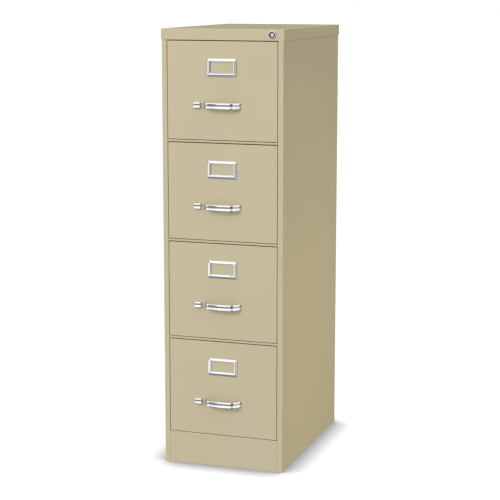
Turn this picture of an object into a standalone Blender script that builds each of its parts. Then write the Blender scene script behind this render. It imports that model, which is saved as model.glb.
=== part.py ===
"""Four-drawer vertical filing cabinet in painted sheet steel, built from its separate pieces.

Metres, +Z up. The origin is on the floor, under the middle of the whole cabinet with its pulls.
The drawers face -Y, and +X is the right side as seen from the front.
"""

import math

import bmesh
import bpy
from mathutils import Matrix, Vector

# Case
CASE_WIDTH = 0.381
CASE_DEPTH = 0.5842
CASE_HEIGHT = 1.3208
CASE_SHEET = 0.0008
BEND_RADIUS = 0.0016
CAP_FLANGE = 0.0325
CAP_OVERHANG = 0.002
TOUCH_GAP = 0.0003
STILE_RETURN = 0.012
SEAM_FLANGE = 0.015
FLANGE_INSET = 0.030
BRACE_HEIGHT = 0.040
BRACE_DEPTH = 0.025
ANGLE_LIFT = 0.001
CUT_MARGIN = 0.010

# Drawers
DRAWER_COUNT = 4
DRAWER_PITCH = 0.2992
FRONT_WIDTH = 0.3408
REVEAL = 0.0018
TOP_REVEAL = 0.0028
RAIL_HEIGHT = 0.0060
RAIL_DEPTH = 0.014
PAN_DEPTH = 0.020
PAN_LIP = 0.012
PAN_SHEET = 0.0008
TRAY_WIDTH = 0.316
TRAY_LENGTH = 0.530
TRAY_HEIGHT = 0.238
TRAY_LIFT = 0.012
TRAY_SHEET = 0.0007
TRAY_HEM = 0.008
LUG_THICKNESS = 0.003
LUG_HEIGHT = 0.012
LUG_CLEARANCE = 0.002
LUG_GAP = 0.001

# Ball-bearing slides: three nested channels on each side of a drawer
SLIDE_LENGTH = 0.500
SLIDE_HEIGHT = 0.080
SLIDE_SHEET = 0.0012
SLIDE_BEND = 0.0016
UPRIGHT_SETBACKS = {"front": 0.045, "rear": 0.470}
UPRIGHT_WIDTH = 0.030
UPRIGHT_FOOT = 0.030
UPRIGHT_HEADROOM = 0.010

# Hardware on the drawer fronts
LABEL_DROP = 0.0765
LABEL_WIDTH = 0.0915
LABEL_HEIGHT = 0.052
LABEL_WINDOW_WIDTH = 0.069
LABEL_WINDOW_HEIGHT = 0.031
LABEL_THICKNESS = 0.0042
LABEL_CHAMFER = 0.0025
PULL_DROP = 0.1870
PULL_WIDTH = 0.117
PULL_REACH = 0.0315
PULL_HEIGHT = 0.0185
PULL_STRAP = 0.0045
PULL_GRIP_WIDTH = 0.081
PULL_BOW = 0.0025
PULL_CORNER = 0.009
LATCH_X = -0.0765
LATCH_WIDTH = 0.0205
LATCH_HEIGHT = 0.0180
LATCH_REACH = 0.0085
LATCH_RIM_SHARE = 0.45
LATCH_TRAVEL = 0.006
STEM_HALF = 0.003
STEM_PLAY = 0.001
BAR_HEIGHT = 0.012
BAR_SHEET = 0.0012
BAR_NEAR = 0.0023
BAR_FAR = 0.0135
BAR_CRANK = (-0.145, -0.152)
BAR_TAIL = 0.012
NOSE_REACH = 0.0006
NOSE_SLOT = (0.0125, 0.0160, 0.0075)

# Lock in the cap's front flange, and the bar it lifts
LOCK_X = 0.1545
LOCK_DROP = 0.0160
LOCK_FACE_RADIUS = 0.0115
LOCK_FACE_EDGE = 0.0020
LOCK_FACE_REACH = 0.0034
LOCK_CHAMFER = 0.0012
LOCK_RIM = 0.0014
LOCK_DISH = 0.0012
LOCK_BARREL_RADIUS = 0.0080
LOCK_PLUG_RADIUS = 0.0056
LOCK_BARREL_DEPTH = 0.0180
PLUG_PROUD = 0.0026
LOCK_STROKE = 0.007
KEYHOLE_HALF_WIDTH = 0.0015
KEYHOLE_HALF_HEIGHT = 0.0028
CAM_RADIUS = 0.0098
CAM_FRONT = 0.0203
CAM_BACK = 0.0228
PIN_RADIUS = 0.0014
PIN_END = 0.0285
LOCK_BAR_SETBACK = 0.0240
LOCK_BAR_SHEET = 0.0020
LOCK_BAR_TAIL = 0.030
BAR_MARGIN = 0.0025
ARM_HALF_HEIGHT = 0.0056
ARM_OVERLAP = 0.003
PIN_PLAY = 0.0006
PIN_RISE = 0.0022
HOOK_HEIGHT = 0.010
HOOK_LENGTH = 0.0090
HOOK_GAP = 0.002
HOOK_LIFT = 0.205

# Worked out from the driving dimensions
FRONT_Y = (PULL_REACH - CASE_DEPTH) / 2
BACK_Y = FRONT_Y + CASE_DEPTH
CASE_HALF = CASE_WIDTH / 2 - CAP_OVERHANG
OPENING_HALF = FRONT_WIDTH / 2 + REVEAL
CAP_BOTTOM = CASE_HEIGHT - CAP_FLANGE
DRAWER_GAP = RAIL_HEIGHT + REVEAL + TOP_REVEAL
FRONT_HEIGHT = DRAWER_PITCH - DRAWER_GAP
KICK_HEIGHT = CAP_BOTTOM - DRAWER_COUNT * DRAWER_PITCH + RAIL_HEIGHT
TRAY_FRONT_Y = FRONT_Y + PAN_DEPTH + TOUCH_GAP
LOCK_Z = CASE_HEIGHT - LOCK_DROP

# Slide channels, as distances out from the middle of the cabinet: (web face, flange ends, half height)
RUNNER = (TRAY_WIDTH / 2 + TOUCH_GAP, TRAY_WIDTH / 2 + 0.0070, 0.0120)
MIDDLE = (TRAY_WIDTH / 2 + 0.0094, TRAY_WIDTH / 2 + 0.0028, 0.0170)
OUTER = (TRAY_WIDTH / 2 + 0.0124, TRAY_WIDTH / 2 + 0.0038, 0.0220)
RUNNER_SETBACK = 0.0245
MIDDLE_SETBACK = 0.0285
OUTER_SETBACK = 0.0305


def clear_scene():
    for obj in list(bpy.data.objects):
        bpy.data.objects.remove(obj, do_unlink=True)


def material(name, color, roughness, metallic):
    made = bpy.data.materials.new(name)
    made.use_nodes = True
    shader = made.node_tree.nodes["Principled BSDF"]
    shader.inputs["Base Color"].default_value = (*color, 1.0)
    shader.inputs["Roughness"].default_value = roughness
    shader.inputs["Metallic"].default_value = metallic
    made.diffuse_color = (*color, 1.0)
    return made


def empty(name, parent, location=(0.0, 0.0, 0.0)):
    made = bpy.data.objects.new(name, None)
    bpy.context.scene.collection.objects.link(made)
    made.parent = parent
    made.location = location
    return made


def mesh_object(name, bm, finish, parent=None):
    mesh = bpy.data.meshes.new(name)
    bm.to_mesh(mesh)
    bm.free()
    made = bpy.data.objects.new(name, mesh)
    bpy.context.scene.collection.objects.link(made)
    if finish is not None:
        mesh.materials.append(finish)
    made.parent = parent
    return made


def cutter(name, low, high, parent=None):
    """A box that only cuts, so it isn't rendered."""
    made = mesh_object(name, box_mesh(low, high), None, parent)
    made.hide_render = True
    made.display_type = "WIRE"
    return made


def box_mesh(low, high):
    bm = bmesh.new()
    low, high = Vector(low), Vector(high)
    place = Matrix.Translation((low + high) / 2) @ Matrix.Diagonal((*(high - low), 1.0))
    bmesh.ops.create_cube(bm, size=1.0, matrix=place)
    return bm


def boolean(target, other, operation):
    modifier = target.modifiers.new(other.name, "BOOLEAN")
    modifier.operation = operation
    modifier.solver = "EXACT"
    modifier.object = other
    other.hide_render = True
    other.display_type = "WIRE"


def bevel(target, width, segments):
    modifier = target.modifiers.new("bends", "BEVEL")
    modifier.width = width
    modifier.segments = segments
    modifier.limit_method = "ANGLE"
    modifier.angle_limit = math.radians(30)


def sheet(name, bm, outside, thickness, radius, finish, parent=None):
    """Bends an open surface into sheet metal. The first face looks along outside, with the metal behind."""
    bm.faces.ensure_lookup_table()
    bmesh.ops.recalc_face_normals(bm, faces=bm.faces)
    bm.faces.ensure_lookup_table()
    bm.normal_update()
    if bm.faces[0].normal.dot(Vector(outside)) < 0:
        bmesh.ops.reverse_faces(bm, faces=bm.faces)
    made = mesh_object(name, bm, finish, parent)
    bevel(made, radius, 2)
    modifier = made.modifiers.new("thickness", "SOLIDIFY")
    modifier.thickness = thickness
    modifier.offset = -1.0
    modifier.use_even_offset = True
    return made


def fold(bm, profile, start, end):
    """Extrudes an open profile of 3-D points from start to end, and returns the two rows of vertices."""
    rows = [[bm.verts.new(Vector(p) + Vector(offset)) for p in profile] for offset in (start, end)]
    for i in range(len(profile) - 1):
        bm.faces.new((rows[0][i], rows[0][i + 1], rows[1][i + 1], rows[1][i]))
    return rows


def flange(bm, first, second, offset, inset):
    """Adds a flange along an edge, stepped by offset, with its free corners drawn in by inset."""
    along = (second.co - first.co).normalized() * inset
    corners = (first.co + Vector(offset) + along, second.co + Vector(offset) - along)
    bm.faces.new((first, second, bm.verts.new(corners[1]), bm.verts.new(corners[0])))


def pan_mesh(low, high, lip):
    """The surface of a shallow pan that is open towards +Y, with an inward lip round its open side."""
    bm = bmesh.new()
    x0, y0, z0 = low
    x1, y1, z1 = high
    corners = ((x0, z0), (x1, z0), (x1, z1), (x0, z1))
    front = [bm.verts.new((x, y0, z)) for x, z in corners]
    back = [bm.verts.new((x, y1, z)) for x, z in corners]
    bm.faces.new(front)
    for i in range(4):
        j = (i + 1) % 4
        bm.faces.new((front[j], front[i], back[i], back[j]))
    if lip:
        inner = ((x0 + lip, z0 + lip), (x1 - lip, z0 + lip), (x1 - lip, z1 - lip), (x0 + lip, z1 - lip))
        edge = [bm.verts.new((x, y1, z)) for x, z in inner]
        for i in range(4):
            j = (i + 1) % 4
            bm.faces.new((back[j], back[i], edge[i], edge[j]))
    return bm


def turned(name, profile, centre, segments, finish, parent=None):
    """Spins a closed outline of (radius, y) points round the Y axis through centre."""
    bm = bmesh.new()
    rings = []
    for step in range(segments):
        angle = 2 * math.pi * step / segments
        points = [Vector((r * math.cos(angle), y, r * math.sin(angle))) for r, y in profile]
        rings.append([bm.verts.new(Vector(centre) + p) for p in points])
    for step in range(segments):
        here, after = rings[step], rings[(step + 1) % segments]
        for i in range(len(profile)):
            j = (i + 1) % len(profile)
            bm.faces.new((here[i], here[j], after[j], after[i]))
    bmesh.ops.recalc_face_normals(bm, faces=bm.faces)
    made = mesh_object(name, bm, finish, parent)
    made.data.shade_smooth()
    made.data.set_sharp_from_angle(angle=math.radians(35))
    return made


def rod(name, radius, y0, y1, centre, segments, finish, parent=None):
    """A solid cylinder along Y, from y0 to y1 behind the front plane."""
    bm = bmesh.new()
    place = Matrix.Translation((centre[0], FRONT_Y + (y0 + y1) / 2, centre[1]))
    place = place @ Matrix.Rotation(math.pi / 2, 4, "X")
    bmesh.ops.create_cone(
        bm, cap_ends=True, segments=segments, radius1=radius, radius2=radius, depth=y1 - y0, matrix=place
    )
    made = mesh_object(name, bm, finish, parent)
    made.data.shade_smooth()
    made.data.set_sharp_from_angle(angle=math.radians(35))
    return made


def drawer_top(number):
    return CAP_BOTTOM - TOP_REVEAL - (number - 1) * DRAWER_PITCH


def drawer_bottom(number):
    return drawer_top(number) - FRONT_HEIGHT


# The case


def side_panel(side, finish, parent):
    """A side, its front stile and rear flange, folded from one sheet. side is -1 for left, 1 for right."""
    top = CASE_HEIGHT - CASE_SHEET - TOUCH_GAP
    rear = BACK_Y - CAP_OVERHANG
    profile = (
        (side * OPENING_HALF, FRONT_Y + STILE_RETURN, 0),
        (side * OPENING_HALF, FRONT_Y, 0),
        (side * CASE_HALF, FRONT_Y, 0),
        (side * CASE_HALF, FRONT_Y + FLANGE_INSET, 0),
        (side * CASE_HALF, rear - FLANGE_INSET, 0),
        (side * CASE_HALF, rear, 0),
        (side * (CASE_HALF - SEAM_FLANGE), rear, 0),
    )
    bm = bmesh.new()
    low, high = fold(bm, profile, (0, 0, 0), (0, 0, top))
    for row in (low, high):
        flange(bm, row[3], row[4], (-side * SEAM_FLANGE, 0, 0), SEAM_FLANGE)
    name = "right_side_panel" if side > 0 else "left_side_panel"
    made = sheet(name, bm, (-side, 0, 0), CASE_SHEET, BEND_RADIUS, finish, parent)
    edges = sorted((side * (OPENING_HALF - CUT_MARGIN), side * (CASE_HALF + CUT_MARGIN)))
    notch_low = (edges[0], FRONT_Y - CUT_MARGIN, CAP_BOTTOM - TOUCH_GAP)
    notch_high = (edges[1], FRONT_Y + STILE_RETURN + BEND_RADIUS, CASE_HEIGHT + CUT_MARGIN)
    boolean(made, cutter(name + "_cap_notch", notch_low, notch_high, parent), "DIFFERENCE")
    return made


def lock_hole(name, parent):
    """A cutter for the round hole that the lock's barrel passes through."""
    radius = LOCK_BARREL_RADIUS + TOUCH_GAP
    return rod(name, radius, -CUT_MARGIN, CUT_MARGIN, (LOCK_X, LOCK_Z), 32, None, parent)


def top_cap(finish, parent):
    bm = bmesh.new()
    half = CASE_WIDTH / 2
    corners = ((-half, FRONT_Y), (half, FRONT_Y), (half, BACK_Y), (-half, BACK_Y))
    top = [bm.verts.new((x, y, CASE_HEIGHT)) for x, y in corners]
    rim = [bm.verts.new((x, y, CAP_BOTTOM)) for x, y in corners]
    bm.faces.new(top)
    for i in range(4):
        j = (i + 1) % 4
        bm.faces.new((top[j], top[i], rim[i], rim[j]))
    made = sheet("top_cap", bm, (0, 0, 1), CASE_SHEET, BEND_RADIUS, finish, parent)
    boolean(made, lock_hole("cap_lock_hole", parent), "DIFFERENCE")
    return made


def back_panel(finish, parent):
    half = CASE_HALF - CASE_SHEET - TOUCH_GAP
    rear = BACK_Y - CAP_OVERHANG - CASE_SHEET - TOUCH_GAP
    low, high = 2 * CASE_SHEET, CASE_HEIGHT - 2 * CASE_SHEET - TOUCH_GAP
    corners = ((-half, low), (half, low), (half, high), (-half, high))
    bm = bmesh.new()
    face = [bm.verts.new((x, rear, z)) for x, z in corners]
    rim = [bm.verts.new((x, rear - SEAM_FLANGE, z)) for x, z in corners]
    bm.faces.new(face)
    for i in range(4):
        j = (i + 1) % 4
        bm.faces.new((face[j], face[i], rim[i], rim[j]))
    return sheet("back_panel", bm, (0, 1, 0), CASE_SHEET, BEND_RADIUS, finish, parent)


def front_member(name, low_z, high_z, depth, finish, parent):
    """A shallow pan between the stiles, flush with them: a cross rail or the kick panel."""
    half = OPENING_HALF - TOUCH_GAP
    bm = pan_mesh((-half, FRONT_Y, low_z), (half, FRONT_Y + depth, high_z), 0)
    return sheet(name, bm, (0, -1, 0), CASE_SHEET, BEND_RADIUS * 0.7, finish, parent)


def top_rail(finish, parent):
    """An angle behind the cap's front flange, which carries the lock."""
    half = OPENING_HALF
    front = FRONT_Y + CASE_SHEET + TOUCH_GAP
    top = CASE_HEIGHT - CASE_SHEET - TOUCH_GAP
    low = CAP_BOTTOM + ANGLE_LIFT
    profile = ((-half, front, low), (-half, front, top), (-half, front + STILE_RETURN, top))
    bm = bmesh.new()
    fold(bm, profile, (0, 0, 0), (2 * half, 0, 0))
    made = sheet("top_rail", bm, (0, -1, 0), CASE_SHEET, BEND_RADIUS, finish, parent)
    boolean(made, lock_hole("rail_lock_hole", parent), "DIFFERENCE")
    return made


def rear_brace(finish, parent):
    """An angle across the bottom, between the side panels and in front of the back panel."""
    half = CASE_HALF - CASE_SHEET - TOUCH_GAP
    rear = BACK_Y - CAP_OVERHANG - 2 * CASE_SHEET - 2 * TOUCH_GAP - SEAM_FLANGE
    low = 2 * CASE_SHEET
    profile = ((-half, rear, low + BRACE_HEIGHT), (-half, rear, low), (-half, rear - BRACE_DEPTH, low))
    bm = bmesh.new()
    fold(bm, profile, (0, 0, 0), (2 * half, 0, 0))
    return sheet("rear_base_brace", bm, (0, 1, 0), CASE_SHEET, BEND_RADIUS, finish, parent)


# The slides


def channel(name, side, shape, setback, height, finish, parent):
    """A slide member: a channel along Y. shape gives its web, its flange ends and its half height."""
    web, ends, half = shape
    y = FRONT_Y + setback
    profile = (
        (side * ends, y, height + half),
        (side * web, y, height + half),
        (side * web, y, height - half),
        (side * ends, y, height - half),
    )
    bm = bmesh.new()
    fold(bm, profile, (0, 0, 0), (0, SLIDE_LENGTH, 0))
    return sheet(name, bm, (0, 0, 1), SLIDE_SHEET, SLIDE_BEND, finish, parent)


def upright(name, side, setback, finish, parent):
    """A channel that stands against the side panel. It overlaps the slides' webs, which are welded to it."""
    inner = side * (OUTER[0] - SLIDE_SHEET / 3)
    outer = side * (CASE_HALF - CASE_SHEET - TOUCH_GAP)
    near = FRONT_Y + setback
    far = near + UPRIGHT_WIDTH
    bm = bmesh.new()
    profile = ((outer, near, 0), (inner, near, 0), (inner, far, 0), (outer, far, 0))
    fold(bm, profile, (0, 0, UPRIGHT_FOOT), (0, 0, CAP_BOTTOM - UPRIGHT_HEADROOM))
    return sheet(name, bm, (0, -1, 0), SLIDE_SHEET, BEND_RADIUS, finish, parent)


def slide_rack(side, finish, parent):
    """Two uprights against the side panel, with the fixed channel of every slide welded to them."""
    name = "right_slide_rack" if side > 0 else "left_slide_rack"
    made = upright(name, side, UPRIGHT_SETBACKS["front"], finish, parent)
    for number in range(1, DRAWER_COUNT + 1):
        height = drawer_bottom(number) + SLIDE_HEIGHT
        rail = channel(f"{name}_rail_{number}", side, OUTER, OUTER_SETBACK, height, finish, parent)
        boolean(made, rail, "UNION")
    boolean(made, upright(f"{name}_rear", side, UPRIGHT_SETBACKS["rear"], finish, parent), "UNION")
    return made


# A drawer


def drawer_front(number, finish, parent):
    """The folded front pan, with a slot behind the thumb latch and one in its left flange for the nose."""
    half = FRONT_WIDTH / 2
    low, high = drawer_bottom(number), drawer_top(number)
    name = f"drawer_{number}_front"
    bm = pan_mesh((-half, FRONT_Y, low), (half, FRONT_Y + PAN_DEPTH, high), PAN_LIP)
    made = sheet(name, bm, (0, -1, 0), PAN_SHEET, BEND_RADIUS, finish, parent)
    z = high - PULL_DROP
    play = STEM_HALF + STEM_PLAY
    slot = cutter(
        name + "_latch_slot",
        (LATCH_X - play, FRONT_Y - PAN_SHEET, z - play),
        (LATCH_X + play + LATCH_TRAVEL, FRONT_Y + 2 * PAN_SHEET, z + play),
        parent,
    )
    near, far, nose_half = NOSE_SLOT
    nose_slot = cutter(
        name + "_nose_slot",
        (-half - PAN_SHEET, FRONT_Y + near, z - nose_half),
        (-half + 3 * PAN_SHEET, FRONT_Y + far, z + nose_half),
        parent,
    )
    boolean(made, slot, "DIFFERENCE")
    boolean(made, nose_slot, "DIFFERENCE")
    return made


def drawer_tray(number, finish, parent):
    """The open box that holds the files: four walls and a floor, with hemmed side walls and a lock lug."""
    name = f"drawer_{number}_tray"
    half = TRAY_WIDTH / 2
    low = drawer_bottom(number) + TRAY_LIFT
    high = low + TRAY_HEIGHT
    y0, y1 = TRAY_FRONT_Y, TRAY_FRONT_Y + TRAY_LENGTH
    corners = ((-half, y0), (half, y0), (half, y1), (-half, y1))
    bm = bmesh.new()
    floor = [bm.verts.new((x, y, low)) for x, y in corners]
    rim = [bm.verts.new((x, y, high)) for x, y in corners]
    bm.faces.new(floor)
    for i in range(4):
        j = (i + 1) % 4
        bm.faces.new((floor[j], floor[i], rim[i], rim[j]))
    flange(bm, rim[1], rim[2], (TRAY_HEM, 0, 0), TRAY_HEM)
    flange(bm, rim[3], rim[0], (-TRAY_HEM, 0, 0), TRAY_HEM)
    flange(bm, rim[2], rim[3], (0, TRAY_HEM, 0), TRAY_HEM)
    made = sheet(name, bm, (0, 0, -1), TRAY_SHEET, SLIDE_BEND, finish, parent)
    lug_y = FRONT_Y + LOCK_BAR_SETBACK + LOCK_BAR_SHEET + LUG_GAP
    lug_z = drawer_bottom(number) + HOOK_LIFT
    lug_low = (half - TRAY_SHEET / 2, lug_y, lug_z)
    lug_high = (OPENING_HALF - LUG_CLEARANCE, lug_y + LUG_THICKNESS, lug_z + LUG_HEIGHT)
    lug = mesh_object(name + "_lug", box_mesh(lug_low, lug_high), finish, parent)
    boolean(made, lug, "UNION")
    return made


def label_holder(number, finish, parent):
    """A chamfered frame round an open window, which a card slides behind."""
    z = drawer_top(number) - LABEL_DROP
    front = FRONT_Y - TOUCH_GAP
    edge = LABEL_THICKNESS - LABEL_CHAMFER
    outline = (
        (LABEL_WIDTH / 2, LABEL_HEIGHT / 2, 0.0),
        (LABEL_WIDTH / 2, LABEL_HEIGHT / 2, edge),
        (LABEL_WIDTH / 2 - LABEL_CHAMFER, LABEL_HEIGHT / 2 - LABEL_CHAMFER, LABEL_THICKNESS),
        (LABEL_WINDOW_WIDTH / 2 + LABEL_CHAMFER, LABEL_WINDOW_HEIGHT / 2 + LABEL_CHAMFER, LABEL_THICKNESS),
        (LABEL_WINDOW_WIDTH / 2, LABEL_WINDOW_HEIGHT / 2, edge),
        (LABEL_WINDOW_WIDTH / 2, LABEL_WINDOW_HEIGHT / 2, 0.0),
    )
    bm = bmesh.new()
    rings = [
        [bm.verts.new((sx * x, front - out, z + sz * h)) for sx, sz in ((-1, -1), (1, -1), (1, 1), (-1, 1))]
        for x, h, out in outline
    ]
    for r in range(len(rings)):
        here, after = rings[r], rings[(r + 1) % len(rings)]
        for i in range(4):
            j = (i + 1) % 4
            bm.faces.new((here[i], here[j], after[j], after[i]))
    bmesh.ops.recalc_face_normals(bm, faces=bm.faces)
    return mesh_object(f"drawer_{number}_label_holder", bm, finish, parent)


def crowned_section(height, thickness, points):
    """The outline of a strap that is flat behind and crowned in front, as (outwards, upwards) pairs."""
    outline = [(-thickness, -height / 2), (-thickness, height / 2)]
    for i in range(points + 1):
        angle = math.pi / 2 - math.pi * i / points
        outline.append((-thickness * 0.5 + thickness * 0.5 * math.cos(angle), height / 2 * math.sin(angle)))
    return outline


def pull_path():
    """The strap's outer line from the left foot to the right one, as (x, distance out from the front).

    Each leg leans in from its foot, a round corner joins it to the grip, and the grip bows slightly forward.
    """
    reach = PULL_REACH - TOUCH_GAP
    half_grip, half_foot = PULL_GRIP_WIDTH / 2, PULL_WIDTH / 2
    shoulder = reach - PULL_BOW
    lean = math.atan2(half_foot - half_grip, shoulder)
    right = [(half_foot, 0.0)]
    steps = 4
    for i in range(steps + 1):
        turn = (math.pi / 2 - lean) * i / steps
        x = half_grip - PULL_CORNER * (1 - math.cos(turn))
        right.append((x, shoulder - PULL_CORNER * (1 - math.sin(turn + lean))))
    right.append((right[-1][0] / 2, shoulder + PULL_BOW * 0.75))
    right.append((0.0, reach))
    return [(-x, out) for x, out in right[:-1]] + right[::-1]


def swept_strap(name, path, section, base, finish, parent):
    """Sweeps a section along a path that lies flat in plan. base is the (y, z) of the path's own origin."""
    bm = bmesh.new()
    rings = []
    for i, (x, out) in enumerate(path):
        before, after = path[max(i - 1, 0)], path[min(i + 1, len(path) - 1)]
        along = Vector((after[0] - before[0], -(after[1] - before[1]), 0)).normalized()
        outwards = Vector((along.y, -along.x, 0))
        if i in (0, len(path) - 1):
            outwards = Vector((math.copysign(1.0, x), 0, 0))
        centre = Vector((x, base[0] - out, base[1]))
        rings.append([bm.verts.new(centre + outwards * o + Vector((0, 0, u))) for o, u in section])
    for here, after in zip(rings, rings[1:]):
        for i in range(len(section)):
            j = (i + 1) % len(section)
            bm.faces.new((here[i], here[j], after[j], after[i]))
    bm.faces.new(rings[0])
    bm.faces.new(rings[-1])
    bmesh.ops.recalc_face_normals(bm, faces=bm.faces)
    made = mesh_object(name, bm, finish, parent)
    made.data.shade_smooth()
    made.data.set_sharp_from_angle(angle=math.radians(35))
    return made


def pull(number, finish, parent):
    section = crowned_section(PULL_HEIGHT, PULL_STRAP, 6)
    base = (FRONT_Y - TOUCH_GAP, drawer_top(number) - PULL_DROP)
    return swept_strap(f"drawer_{number}_pull", pull_path(), section, base, finish, parent)


def thumb_latch(number, finish, parent):
    """A crowned thumb button, on a stem that passes through the slot in the front."""
    z = drawer_top(number) - PULL_DROP
    name = f"drawer_{number}_thumb_latch"
    bm = bmesh.new()
    outline = [(0.0, -LATCH_HEIGHT / 2)]
    steps = 6
    for i in range(steps + 1):
        angle = math.pi * i / steps - math.pi / 2
        rise = LATCH_REACH * (LATCH_RIM_SHARE + (1 - LATCH_RIM_SHARE) * math.cos(angle))
        outline.append((rise, LATCH_HEIGHT / 2 * math.sin(angle)))
    outline.append((0.0, LATCH_HEIGHT / 2))
    face = FRONT_Y - TOUCH_GAP
    ends = [
        [bm.verts.new((LATCH_X + side * LATCH_WIDTH / 2, face - o, z + u)) for o, u in outline]
        for side in (-1, 1)
    ]
    for i in range(len(outline)):
        j = (i + 1) % len(outline)
        bm.faces.new((ends[0][i], ends[0][j], ends[1][j], ends[1][i]))
    bm.faces.new(ends[0])
    bm.faces.new(ends[1])
    bmesh.ops.recalc_face_normals(bm, faces=bm.faces)
    made = mesh_object(name, bm, finish, parent)
    stem_low = (LATCH_X - STEM_HALF, FRONT_Y - LATCH_REACH * LATCH_RIM_SHARE / 2, z - STEM_HALF)
    stem_high = (LATCH_X + STEM_HALF, FRONT_Y + BAR_NEAR - TOUCH_GAP, z + STEM_HALF)
    stem = mesh_object(name + "_stem", box_mesh(stem_low, stem_high), finish, parent)
    boolean(made, stem, "UNION")
    return made


def latch_bar(number, finish, parent):
    """The strip behind the front that the thumb latch pulls. Its nose stops just short of the left stile."""
    low = drawer_top(number) - PULL_DROP - BAR_HEIGHT / 2
    near, far = FRONT_Y + BAR_NEAR, FRONT_Y + BAR_FAR
    profile = (
        (LATCH_X + BAR_TAIL, near, low),
        (BAR_CRANK[0], near, low),
        (BAR_CRANK[1], far, low),
        (-FRONT_WIDTH / 2 - NOSE_REACH, far, low),
    )
    bm = bmesh.new()
    fold(bm, profile, (0, 0, 0), (0, 0, BAR_HEIGHT))
    return sheet(f"drawer_{number}_latch_bar", bm, (0, -1, 0), BAR_SHEET, SLIDE_BEND, finish, parent)


# The lock


def lock_housing(finish, parent):
    face, barrel, plug = LOCK_FACE_RADIUS, LOCK_BARREL_RADIUS, LOCK_PLUG_RADIUS + TOUCH_GAP
    profile = (
        (face, -TOUCH_GAP),
        (face, -LOCK_FACE_EDGE),
        (face - LOCK_CHAMFER, -LOCK_FACE_REACH),
        (face - LOCK_CHAMFER - LOCK_RIM, -LOCK_FACE_REACH),
        (plug + LOCK_DISH, -LOCK_DISH),
        (plug, -LOCK_DISH),
        (plug, LOCK_BARREL_DEPTH),
        (barrel, LOCK_BARREL_DEPTH),
        (barrel, -TOUCH_GAP),
    )
    return turned("lock_housing", profile, (LOCK_X, FRONT_Y, LOCK_Z), 24, finish, parent)


def lock_plug(finish, parent):
    """The round plug that a key turns, with its keyhole cut in the face."""
    made = rod("lock_plug", LOCK_PLUG_RADIUS, -PLUG_PROUD, CAM_FRONT - TOUCH_GAP, (0, 0), 20, finish, parent)
    made.data.transform(Matrix.Translation((0, -FRONT_Y, 0)))
    keyhole_low = (-KEYHOLE_HALF_WIDTH, -2 * PLUG_PROUD, -KEYHOLE_HALF_HEIGHT)
    keyhole_high = (KEYHOLE_HALF_WIDTH, LOCK_BARREL_DEPTH / 2, KEYHOLE_HALF_HEIGHT)
    keyhole = cutter("keyhole", keyhole_low, keyhole_high, parent)
    boolean(made, keyhole, "DIFFERENCE")
    return made


def lock_cam(finish, parent):
    """A disc behind the plug, with the pin that lifts the lock bar."""
    made = rod("lock_cam", CAM_RADIUS, CAM_FRONT, CAM_BACK, (0, 0), 20, finish, parent)
    made.data.transform(Matrix.Translation((0, -FRONT_Y, 0)))
    pin_start = (CAM_FRONT + CAM_BACK) / 2
    pin = rod("lock_cam_pin", PIN_RADIUS, pin_start, PIN_END, (-LOCK_STROKE, 0), 12, finish, parent)
    pin.data.transform(Matrix.Translation((0, -FRONT_Y, 0)))
    boolean(made, pin, "UNION")
    return made


def lock_bar(finish, parent):
    """A flat bar behind the right stile, with an arm to the cam and a hook below each drawer's lug."""
    y0 = FRONT_Y + LOCK_BAR_SETBACK
    y1 = y0 + LOCK_BAR_SHEET
    inner, outer = OPENING_HALF + BAR_MARGIN, CASE_HALF - CASE_SHEET - BAR_MARGIN
    low = drawer_bottom(DRAWER_COUNT) + HOOK_LIFT - LOCK_BAR_TAIL
    high = LOCK_Z + ARM_HALF_HEIGHT
    made = mesh_object("lock_bar", box_mesh((inner, y0, low), (outer, y1, high)), finish, parent)
    arm_low = (LOCK_X - LOCK_STROKE - PIN_RADIUS - ARM_OVERLAP, y0, LOCK_Z - ARM_HALF_HEIGHT)
    arm = mesh_object("lock_bar_arm", box_mesh(arm_low, (inner + ARM_OVERLAP, y1, high)), finish, parent)
    boolean(made, arm, "UNION")
    for number in range(1, DRAWER_COUNT + 1):
        top = drawer_bottom(number) + HOOK_LIFT - HOOK_GAP
        hook_low = (OPENING_HALF - HOOK_LENGTH, y0, top - HOOK_HEIGHT)
        name = f"lock_bar_hook_{number}"
        hook = mesh_object(name, box_mesh(hook_low, (inner + ARM_OVERLAP, y1, top)), finish, parent)
        boolean(made, hook, "UNION")
    play = PIN_RADIUS + PIN_PLAY
    slot_low = (LOCK_X - LOCK_STROKE - play, y0 - LOCK_BAR_SHEET, LOCK_Z - play)
    slot_high = (LOCK_X + play, y1 + LOCK_BAR_SHEET, LOCK_Z + play + PIN_RISE)
    boolean(made, cutter("lock_bar_slot", slot_low, slot_high, parent), "DIFFERENCE")
    return made


def build_case(paint, plated, chrome):
    case = empty("case", None)
    for side in (-1, 1):
        side_panel(side, paint, case)
        slide_rack(side, plated, case)
    top_cap(paint, case)
    back_panel(paint, case)
    top_rail(paint, case)
    rear_brace(paint, case)
    front_member("kick_panel", 0.0, KICK_HEIGHT, RAIL_DEPTH, paint, case)
    for number in range(1, DRAWER_COUNT):
        high = drawer_bottom(number) - REVEAL
        front_member(f"cross_rail_{number}", high - RAIL_HEIGHT, high, RAIL_DEPTH, paint, case)
    lock_housing(chrome, case)
    plug_axis = empty("lock_plug_axis", case, (LOCK_X, FRONT_Y, LOCK_Z))
    lock_plug(chrome, plug_axis)
    lock_cam(plated, plug_axis)
    lock_bar(plated, case)


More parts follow.
